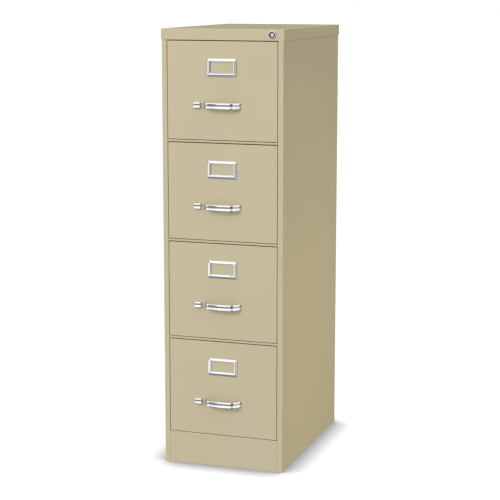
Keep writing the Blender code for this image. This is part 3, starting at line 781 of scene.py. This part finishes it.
def lock_plug_face():
    """The plug: a chamfered cylinder with its keyhole sunk into the face."""
    low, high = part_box("lock_plug")
    centre = Vector(((low.x + high.x) / 2, 0.0, (low.z + high.z) / 2))
    radius = (high.x - low.x) / 2
    front, back = low.y, high.y
    count = LOCK_SEGMENTS // 2
    circle = [(math.cos(2 * math.pi * i / count), math.sin(2 * math.pi * i / count)) for i in range(count)]

    def ring(points, y):
        return [centre + Vector((x, y, z)) for x, z in points]

    slot = [(KEYHOLE[0] * x, KEYHOLE[1] * z) for x, z in circle]
    wide = [(KEYHOLE_MOUTH[0] * x, KEYHOLE_MOUTH[1] * z) for x, z in circle]
    edge = ((1.0, back), (1.0, front + 0.0006), (0.97, front + 0.0003), (0.90, front))
    rings = [ring([(radius * share * x, radius * share * z) for x, z in circle], y) for share, y in edge]
    rings += [ring(wide, front), ring(slot, front + 0.0002), ring(slot, front + KEYHOLE_DEPTH)]
    bm = bmesh.new()
    loft(bm, rings)
    made = chromed(link("lock_plug_keyed", bm), "lock_cylinder", "lock_plug")
    # A near-black lining inside the keyhole: painted shade.
    bm = bmesh.new()
    lining = [(x * 0.98, z * 0.98) for x, z in slot]
    loft(bm, [ring(lining, front + 0.0004), ring(lining, front + KEYHOLE_DEPTH - 0.0002)])
    finish_piece(link("lock_keyway_shade", bm), DARK, "lock_cylinder")
    return made


def lock_cam_disc():
    """The cam disc, with a rolled edge, a screw in its middle and the pin that lifts the bar."""
    low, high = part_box("lock_cam")
    lock_low, lock_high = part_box("lock_plug")
    centre = ((lock_low.x + lock_high.x) / 2, 0.0, (lock_low.z + lock_high.z) / 2)
    radius = high.x - centre[0]
    near, far, edge = low.y, low.y + CAM_THICKNESS, CAM_EDGE
    profile = [(CORE, near), (radius - edge, near), (radius, near + edge), (radius, far - edge)]
    profile += [(radius - edge, far), (CAM_SCREW_RADIUS, far), (CAM_SCREW_RADIUS, far + 0.0016)]
    profile += [(CAM_SCREW_RADIUS - 0.0008, far + 0.0022), (CORE, far + 0.0022)]
    bm = bmesh.new()
    turned(bm, profile, centre, 40)
    pin = (centre[0] - LOCK_STROKE, 0.0, centre[2])
    sides = [(PIN_CORE, far - edge), (PIN_RADIUS, far - edge), (PIN_RADIUS, high.y - 0.0003)]
    turned(bm, sides + [(PIN_RADIUS - 0.0003, high.y), (PIN_CORE, high.y)], pin, 24)
    return plated(link("lock_cam_disc", bm), "lock_cylinder", "lock_cam")


# A drawer


def drawer_front_shell(number):
    low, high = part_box(f"drawer_{number}_front")
    latch_low, latch_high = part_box(f"drawer_{number}_thumb_latch")
    made = sheet(f"drawer_{number}_front_shell", pan_surface(low, high, PAN_LIP), (0, -1, 0), SHEET)
    x = (latch_low.x + latch_high.x) / 2
    z = (latch_low.z + latch_high.z) / 2
    slot_high = (x + LATCH_PLAY + LATCH_TRAVEL, FRONT_Y + SHEET * 2, z + LATCH_PLAY)
    cut(made, box_tool((x - LATCH_PLAY, FRONT_Y - SHEET, z - LATCH_PLAY), slot_high))
    near, far, half = NOSE_SLOT
    nose_high = (low.x + SHEET * 3, FRONT_Y + far, z + half)
    cut(made, box_tool((low.x - SHEET, FRONT_Y + near, z - half), nose_high))
    return painted(made, f"drawer_{number}", f"drawer_{number}_front")


def drawer_tray_shell(number):
    """The file box, with outturned rails that hanging folders hook over, turned down at their edges."""
    low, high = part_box(f"drawer_{number}_tray")
    half = -low.x - TRAY_HEM
    rear = high.y - TRAY_HEM
    corners = ((-half, low.y), (half, low.y), (half, rear), (-half, rear))
    bm, rim = tray_surface(corners, low.z, high.z)
    for first, second, step in (
        (rim[1], rim[2], Vector((TRAY_HEM, 0, 0))),
        (rim[3], rim[0], Vector((-TRAY_HEM, 0, 0))),
        (rim[2], rim[3], Vector((0, TRAY_HEM, 0))),
    ):
        near, far = flange(bm, first, second, step, TRAY_HEM)
        flange(bm, near, far, (0, 0, -HEM_DROP), HEM_INSET)
    made = sheet(f"drawer_{number}_tray_shell", bm, (0, 0, -1), TRAY_SHEET)
    return painted(made, f"drawer_{number}", f"drawer_{number}_tray")


def tray_details(number):
    """Stiffening beads pressed up from the floor, weld marks and the lug that the lock bar stops."""
    body = f"drawer_{number}"
    low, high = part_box(f"{body}_tray")
    half = -low.x - TRAY_HEM
    rear = high.y - TRAY_HEM
    floor = low.z + TRAY_SHEET
    bm = bmesh.new()
    middle, length = (low.y + rear) / 2, (rear - low.y) / 2 - BEAD_INSET
    for x in (-half * BEAD_SHARE, 0.0, half * BEAD_SHARE):
        rings = []
        for inset, rise in ((0.0, -0.1), (0.0006, 0.12), (0.0022, 0.75), (0.0034, 0.95), (0.0045, 1.0)):
            half_width = BEAD_WIDTH / 2 - inset
            outline = rounded_rectangle(half_width, length - inset, half_width * 0.98, 6)
            rings.append([Vector((x + u, middle + v, floor + rise * BEAD_RISE)) for u, v in outline])
        loft(bm, rings)
    painted(link(f"{body}_floor_beads", bm), body)
    bm = bmesh.new()
    for side in SIDES.values():
        for z in steps_between(low.z + TRAY_WELD_RISE, high.z - TRAY_WELD_RISE, TRAY_WELD_COUNT):
            for y in (low.y + TRAY_WELD_INSET, rear - TRAY_WELD_INSET):
                disc(bm, (side * half, y, z), (side, 0, 0), WELD_RADIUS, WELD_RISE)
                disc(bm, (side * (half - TRAY_SHEET), y, z), (-side, 0, 0), WELD_RADIUS, WELD_RISE)
    painted(link(f"{body}_tray_welds", bm), body)
    lug_z = low.z + LUG_RISE
    y = FRONT_Y + LUG_SETBACK
    profile = ((half + GAP, y + LUG_LENGTH, lug_z), (half + GAP, y, lug_z), (high.x, y, lug_z))
    bm = bmesh.new()
    fold(bm, profile, (0, 0, 0), (0, 0, LUG_HEIGHT))
    return plated(sheet(f"{body}_lock_lug", bm, (0, -1, 0), SLIDE_SHEET), body)


def label_frame(number):
    """A stamped card frame: a flat band round the window, sloping back to the drawer front outside."""
    low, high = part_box(f"drawer_{number}_label_holder")
    x, z = (low.x + high.x) / 2, (low.z + high.z) / 2
    outer = ((high.x - low.x) / 2, (high.z - low.z) / 2)
    window = (WINDOW_WIDTH / 2, WINDOW_HEIGHT / 2)
    depth = high.y - low.y
    rings = []
    for share, rise, radius in LABEL_SECTION:
        half_width = window[0] + (outer[0] - window[0]) * share
        half_height = window[1] + (outer[1] - window[1]) * share
        outline = rounded_rectangle(half_width, half_height, radius, 5)
        rings.append([Vector((x + u, high.y - rise * depth, z + v)) for u, v in outline])
    bm = bmesh.new()
    loft(bm, rings, closed=True)
    body = f"drawer_{number}"
    return chromed(link(f"{body}_label_frame", bm), body, f"{body}_label_holder")


def bezier(p0, p1, p2, p3, count):
    points = []
    for i in range(count + 1):
        t = i / count
        weights = ((1 - t) ** 3, 3 * t * (1 - t) ** 2, 3 * t * t * (1 - t), t ** 3)
        points.append(tuple(sum(w * p[k] for w, p in zip(weights, (p0, p1, p2, p3))) for k in (0, 1)))
    return points


def pull_line(half_foot, reach):
    """The outer line of the bow pull in plan, from its left foot to its right, as (x, out) pairs.

    The grip bows forward, a round corner turns it into a straight leg, and the leg flares out into its foot.
    """
    start, lean, end = PULL_TURNS
    shoulder = reach - PULL_BOW
    foot = STRAP * math.cos(end)
    corner_drop = PULL_CORNER * (math.cos(start) - math.cos(lean))
    foot_drop = PULL_FOOT * (math.cos(end) - math.cos(lean))
    leg = (shoulder - foot - corner_drop - foot_drop) / math.sin(lean)
    corner_run = PULL_CORNER * (math.sin(lean) - math.sin(start))
    foot_run = PULL_FOOT * (math.sin(lean) - math.sin(end))
    x = half_foot - leg * math.cos(lean) - corner_run - foot_run
    rise = x * 0.30 * math.tan(start)
    right = bezier((0.0, reach), (x * 0.35, reach), (x * 0.70, shoulder + rise), (x, shoulder), 8)
    for i in range(1, 11):
        turn = start + (lean - start) * i / 10
        run, drop = math.sin(turn) - math.sin(start), math.cos(start) - math.cos(turn)
        right.append((x + PULL_CORNER * run, shoulder - PULL_CORNER * drop))
    knee = (half_foot - foot_run, foot + foot_drop)
    for i in range(1, 6):
        left = leg * (1 - i / 5)
        right.append((knee[0] - left * math.cos(lean), knee[1] + left * math.sin(lean)))
    for i in range(1, 7):
        turn = lean + (end - lean) * i / 6
        run, drop = math.sin(lean) - math.sin(turn), math.cos(turn) - math.cos(lean)
        right.append((knee[0] + PULL_FOOT * run, knee[1] - PULL_FOOT * drop))
    return [(-x, out) for x, out in reversed(right)] + right[1:]


def grooved_face(height, depth, rim):
    """A face from its top edge to its bottom edge: round rims with a groove between, as (in, up) pairs."""
    half = height / 2
    points = []
    for angle in quarter(RIM_STEPS)[:-1]:
        points.append((-rim * (1 - math.sin(angle)), half * (1 - (1 - GROOVE_TOP) * (1 - math.cos(angle)))))
    for i in range(GROOVE_STEPS + 1):
        share = i / GROOVE_STEPS
        up = GROOVE_TOP + (GROOVE_BOTTOM - GROOVE_TOP) * share
        points.append((-depth * (1 - math.cos(2 * math.pi * share)) / 2, up * half))
    for angle in reversed(quarter(RIM_STEPS)[:-1]):
        up = (1 + GROOVE_BOTTOM) * (1 - math.cos(angle)) - 1
        points.append((-rim * (1 - math.sin(angle)), up * half))
    return points


def strap_section(height, thickness):
    """The pull's section as (outwards, upwards) pairs: grooved in front and flat behind."""
    back = [(-thickness, -height / 2 + STRAP_TAPER), (-thickness, height / 2 - STRAP_TAPER)]
    return grooved_face(height, GROOVE_DEPTH, RIM_DROP) + back


def bow_pull(number):
    low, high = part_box(f"drawer_{number}_pull")
    z = (low.z + high.z) / 2
    reach = high.y - low.y
    line = pull_line((high.x - low.x) / 2, reach)
    section = strap_section(high.z - low.z, STRAP)
    rings = []
    for i, (x, out) in enumerate(line):
        before, after = line[max(i - 1, 0)], line[min(i + 1, len(line) - 1)]
        along = Vector((after[0] - before[0], before[1] - after[1], 0)).normalized()
        outwards = Vector((along.y, -along.x, 0))
        rings.append([Vector((x, high.y - out, z)) + outwards * o + Vector((0, 0, u)) for o, u in section])
    bm = bmesh.new()
    loft(bm, rings)
    return chromed(link(f"drawer_{number}_bow_pull", bm), f"drawer_{number}", f"drawer_{number}_pull")


def pull_screws(number):
    """The two screws that hold the pull from inside the front, as washers with domed heads on them."""
    low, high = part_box(f"drawer_{number}_pull")
    inside = FRONT_Y + SHEET
    bm = bmesh.new()
    for x in (low.x + SCREW_INSET, high.x - SCREW_INSET):
        centre = (x, 0.0, (low.z + high.z) / 2)
        top = inside + WASHER_THICKNESS
        turned(bm, [(CORE, inside), (WASHER_RADIUS, inside), (WASHER_RADIUS, top), (CORE, top)], centre, 28)
        rim = top + HEAD_RIM
        head = [(CORE, top), (HEAD_RADIUS, top), (HEAD_RADIUS, rim)]
        head += [(HEAD_RADIUS * math.cos(a), rim + HEAD_DOME * math.sin(a)) for a in quarter(5)[1:-1]]
        turned(bm, head + [(CORE, rim + HEAD_DOME)], centre, 28)
    return plated(link(f"drawer_{number}_pull_screws", bm), f"drawer_{number}")


def thumb_latch_button(number):
    """A block with a grooved face and soft ends, on a stem through the slot in the front."""
    low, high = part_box(f"drawer_{number}_thumb_latch")
    x, z = (low.x + high.x) / 2, (low.z + high.z) / 2
    half = (high.x - low.x) / 2
    height = high.z - low.z
    base = FRONT_Y - GAP
    reach = base - low.y
    face = [(reach + back, up) for back, up in grooved_face(height, BUTTON_DEPTH, RIM_DROP)]
    outline = [(0.0, height / 2)] + face + [(0.0, -height / 2)]
    ends = list(BUTTON_ENDS) + [(-across, share) for across, share in reversed(BUTTON_ENDS)]
    rings = []
    for across, share in ends:
        end = x + half * across
        rings.append([Vector((end, base - out * share, z + up * share)) for out, up in outline])
    bm = bmesh.new()
    loft(bm, rings)
    square = rounded_rectangle(STEM_HALF, STEM_HALF, STEM_ROUND)
    stem = [Vector((x + u, base - STEM_SINK, z + v)) for u, v in square]
    loft(bm, [stem, [p + Vector((0, high.y - base + STEM_SINK, 0)) for p in stem]])
    made = link(f"drawer_{number}_thumb_latch_button", bm)
    return chromed(made, f"drawer_{number}_latch", f"drawer_{number}_thumb_latch")


def latch_parts(number):
    """The latch bar with its spring tab, the bracket on the front, and the return spring between them."""
    body, latch = f"drawer_{number}", f"drawer_{number}_latch"
    low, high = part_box(f"{body}_latch_bar")
    near, far = low.y, high.y
    z = (low.z + high.z) / 2
    profile = (
        (high.x, near + SPRING_TAB, low.z),
        (high.x, near, low.z),
        (LATCH_CRANK[0], near, low.z),
        (LATCH_CRANK[1], far - SLIDE_SHEET, low.z),
        (low.x, far - SLIDE_SHEET, low.z),
    )
    bm = bmesh.new()
    fold(bm, profile, (0, 0, 0), (0, 0, high.z - low.z))
    plated(sheet(f"{body}_latch_strip", bm, (1, 0, 0), SLIDE_SHEET), latch, f"{body}_latch_bar")
    seat = high.x + SPRING_LENGTH
    bm = bmesh.new()
    foot = FRONT_Y + SHEET
    profile = ((seat + SPRING_FOOT, foot, low.z), (seat, foot, low.z), (seat, foot + SPRING_TAB, low.z))
    fold(bm, profile, (0, 0, 0), (0, 0, high.z - low.z))
    plated(sheet(f"{body}_spring_bracket", bm, (0, -1, 0), SLIDE_SHEET), body)
    start = Vector((high.x + 0.0002, near + SPRING_TAB / 2 + 0.0006, z))
    spring = coil_spring(f"{body}_latch_spring", start, seat - start.x - 0.0014)
    finish_piece(spring, STEEL, body)
    # The spring is left without a parent, with its transform baked into its mesh
    spring.parent = None
    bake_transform(spring)
    return spring


def coil_spring(name, start, length):
    """A wire helix along +X, swept as a mesh."""
    bm = bmesh.new()
    rings = []
    total = SPRING_TURNS * SPRING_STEPS
    for i in range(total + 1):
        angle = 2 * math.pi * i / SPRING_STEPS
        radial = Vector((0, math.cos(angle), math.sin(angle)))
        centre = start + Vector((length * i / total, 0, 0)) + radial * SPRING_RADIUS
        ring = []
        for k in range(SPRING_SIDES):
            turn = 2 * math.pi * k / SPRING_SIDES
            across = Vector((SPRING_WIRE * math.sin(turn), 0, 0))
            ring.append(centre + radial * (SPRING_WIRE * math.cos(turn)) + across)
        rings.append(ring)
    loft(bm, rings)
    return link(name, bm)


def runner_piece(number, label, side):
    """The slide member on the tray, with the rivets that hold it."""
    body = f"drawer_{number}"
    low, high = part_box(f"{body}_runner_{label}")
    inner, outer = sorted((abs(low.x), abs(high.x)))
    made = channel("runner", side, inner, outer, low.z, high.z, low.y, high.y)
    bm = bmesh.new()
    face, middle = side * (inner + SLIDE_SHEET), (low.z + high.z) / 2
    for y in steps_between(low.y + RIVET_INSET, high.y - RIVET_INSET, RIVET_COUNT):
        disc(bm, (face, y, middle), (side, 0, 0), RIVET_RADIUS, RIVET_RISE, 20)
    whole = joined(f"{body}_runner_{label}_riveted", [made, link("rivets", bm)])
    return plated(whole, body, f"{body}_runner_{label}")


def ball_cage(name, side, web, ends, rise, y0, middle, body):
    """A retainer strip with two rows of balls, in the space between two slide members."""
    profile = channel_profile(side, web, ends, middle - rise, middle + rise, y0)
    bm = bmesh.new()
    fold(bm, profile, (0, 0, 0), (0, CAGE_LENGTH, 0))
    strip = sheet("cage", bm, (0, 0, 1), CAGE_SHEET, CAGE_BEND)
    bm = bmesh.new()
    first, last = y0 + BALL_INSET, y0 + CAGE_LENGTH - BALL_INSET
    for up in (-1, 1):
        for y in steps_between(first, last, int(CAGE_LENGTH / BALL_PITCH)):
            place = Matrix.Translation((side * (ends + web) / 2, y, middle + up * (rise - CAGE_SHEET / 2)))
            bmesh.ops.create_icosphere(bm, subdivisions=2, radius=BALL_RADIUS, matrix=place)
    made = joined(name, [strip, link("balls", bm)])
    return finish_piece(made, STEEL, body)


def middle_slide(number, label, side):
    """The member between the drawer's runner and the fixed channel, with a ball cage on each side of it."""
    node_name = f"drawer_{number}_mid_slide_{label}"
    body = f"drawer_{number}_middle_slides"
    low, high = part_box(node_name)
    inner, outer = sorted((abs(low.x), abs(high.x)))
    middle = (low.z + high.z) / 2
    made = channel(f"{node_name}_member", side, outer, inner, low.z, high.z, low.y, high.y)
    plated(made, body, node_name)
    member = (outer, inner, (high.z - low.z) / 2)
    for which, fit, near in (
        ("inner", INNER_CAGE, low.y + CAGE_INSET),
        ("outer", OUTER_CAGE, high.y - CAGE_LENGTH - CAGE_INSET),
    ):
        web, ends, rise = (size + change for size, change in zip(member, fit))
        ball_cage(f"{node_name}_{which}_balls", side, web, ends, rise, near, middle, body)


# The studio


def studio_floor():
    """A wide pale floor that glows like a sweep lit from behind, with a painted contact shadow close to what
    stands on it.
    """
    bm = bmesh.new()
    bmesh.ops.create_circle(bm, cap_ends=True, segments=96, radius=FLOOR_RADIUS)
    made = link("floor", bm)
    made.location.z = -FLOOR_DROP
    finish, shader, _ = new_material("white_floor", 0.9, 0.0, (0.05, 0.05, 0.05))
    # Painted shadow: the floor's glow is dimmed where ambient occlusion finds the cabinet close by.
    near = node(finish, "ShaderNodeAmbientOcclusion", {"Distance": FLOOR_REACH}, samples=16)
    shade = spread(finish, near.outputs["AO"], FLOOR_CONTACT_SHADOW, FLOOR_GLOW, 0.5, 0.92)
    shader.inputs["Emission Color"].default_value = (1.0, 1.0, 1.0, 1.0)
    finish.node_tree.links.new(shade, shader.inputs["Emission Strength"])
    shader.inputs["Specular IOR Level"].default_value = 0.0
    made.data.materials.append(finish)
    made.visible_glossy = False
    made.visible_diffuse = False


def world_level(tree, direction, middle, edge, core, level):
    """A factor that falls from 1 to level as the direction nears a place in the surroundings."""
    dot = tree.nodes.new("ShaderNodeVectorMath")
    dot.operation = "DOT_PRODUCT"
    tree.links.new(direction, dot.inputs[0])
    dot.inputs[1].default_value = Vector(middle).normalized()
    ramp = tree.nodes.new("ShaderNodeMapRange")
    ramp.interpolation_type = "SMOOTHSTEP"
    tree.links.new(dot.outputs["Value"], ramp.inputs["Value"])
    for name, value in (("From Min", edge), ("From Max", core), ("To Min", 1.0), ("To Max", level)):
        ramp.inputs[name].default_value = value
    return ramp.outputs["Result"]


def world_shader(tree, strength):
    made = tree.nodes.new("ShaderNodeBackground")
    if isinstance(strength, bpy.types.NodeSocket):
        tree.links.new(strength, made.inputs["Strength"])
    else:
        made.inputs["Strength"].default_value = strength
    made.inputs["Color"].default_value = (1.0, 1.0, 1.0, 1.0)
    return made.outputs["Background"]


def world_math(tree, operation, first, second):
    made = tree.nodes.new("ShaderNodeMath")
    made.operation = operation
    for socket, value in zip(made.inputs, (first, second)):
        if isinstance(value, bpy.types.NodeSocket):
            tree.links.new(value, socket)
        else:
            socket.default_value = value
    return made.outputs["Value"]


def studio_world():
    """White to the camera, nearly even as light, and with dark places for the chrome to mirror."""
    world = bpy.data.worlds.new("studio")
    bpy.context.scene.world = world
    world.use_nodes = True
    tree = world.node_tree
    direction = tree.nodes.new("ShaderNodeTexCoord").outputs["Generated"]
    slope = tree.nodes.new("ShaderNodeVectorMath")
    slope.operation = "DOT_PRODUCT"
    tree.links.new(direction, slope.inputs[0])
    slope.inputs[1].default_value = EVEN_SLOPE
    even = world_math(tree, "ADD", slope.outputs["Value"], EVEN_LIGHT)
    mirrored = MIRRORED_LIGHT
    for place in DARK_PLACES:
        mirrored = world_math(tree, "MULTIPLY", world_level(tree, direction, *place), mirrored)
    rays = tree.nodes.new("ShaderNodeLightPath")
    shader = world_shader(tree, even)
    for ray, strength in (("Is Glossy Ray", mirrored), ("Is Camera Ray", 1.0)):
        chosen = tree.nodes.new("ShaderNodeMixShader")
        tree.links.new(rays.outputs[ray], chosen.inputs["Fac"])
        tree.links.new(shader, chosen.inputs[1])
        tree.links.new(world_shader(tree, strength), chosen.inputs[2])
        shader = chosen.outputs["Shader"]
    tree.links.new(shader, tree.nodes["World Output"].inputs["Surface"])


def softbox(name, place, size, power, aim, color):
    light = bpy.data.lights.new(name, "AREA")
    light.shape = "RECTANGLE"
    light.size, light.size_y = size
    light.energy = power
    light.color = color
    made = bpy.data.objects.new(name, light)
    bpy.context.scene.collection.objects.link(made)
    made.location = place
    made.rotation_euler = (Vector(aim) - Vector(place)).to_track_quat("-Z", "Y").to_euler()
    made.visible_camera = False
    made.visible_glossy = False


def studio_camera():
    camera = bpy.data.cameras.new("camera")
    camera.lens = CAMERA_LENS
    camera.sensor_width = 36.0
    camera.clip_end = 200.0
    made = bpy.data.objects.new("camera", camera)
    bpy.context.scene.collection.objects.link(made)
    made.location = CAMERA_PLACE
    made.rotation_euler = (math.radians(CAMERA_TILT), 0.0, math.radians(CAMERA_TURN))
    bpy.context.scene.camera = made
    bpy.context.scene.view_settings.view_transform = "Standard"


PAINT = paint_material()
ZINC = zinc_material()
CHROME = chrome_material("bright_chrome", (0.90, 0.90, 0.92), 0.05, 0.09)
DARK = painted_shade_material()
STEEL = steel_material()

for label, side in SIDES.items():
    side_shell(label, side)
    slide_rack(label, side)
cap_shell()
back_shell()
top_rail_shell()
brace_shell()
seam_welds()
front_member("kick_panel", RAIL_LIP)
for number in DRAWERS[:-1]:
    front_member(f"cross_rail_{number}", 0.0)
lock_face()
lock_plug_face()
lock_cam_disc()
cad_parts["lock_bar"].data.materials.clear()
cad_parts["lock_bar"].data.materials.append(ZINC)
for number in DRAWERS:
    drawer_front_shell(number)
    drawer_tray_shell(number)
    tray_details(number)
    label_frame(number)
    bow_pull(number)
    pull_screws(number)
    thumb_latch_button(number)
    latch_parts(number)
    for label, side in SIDES.items():
        runner_piece(number, label, side)
        middle_slide(number, label, side)

studio_floor()
studio_world()
for setting in SOFTBOXES:
    softbox(*setting)
studio_camera()
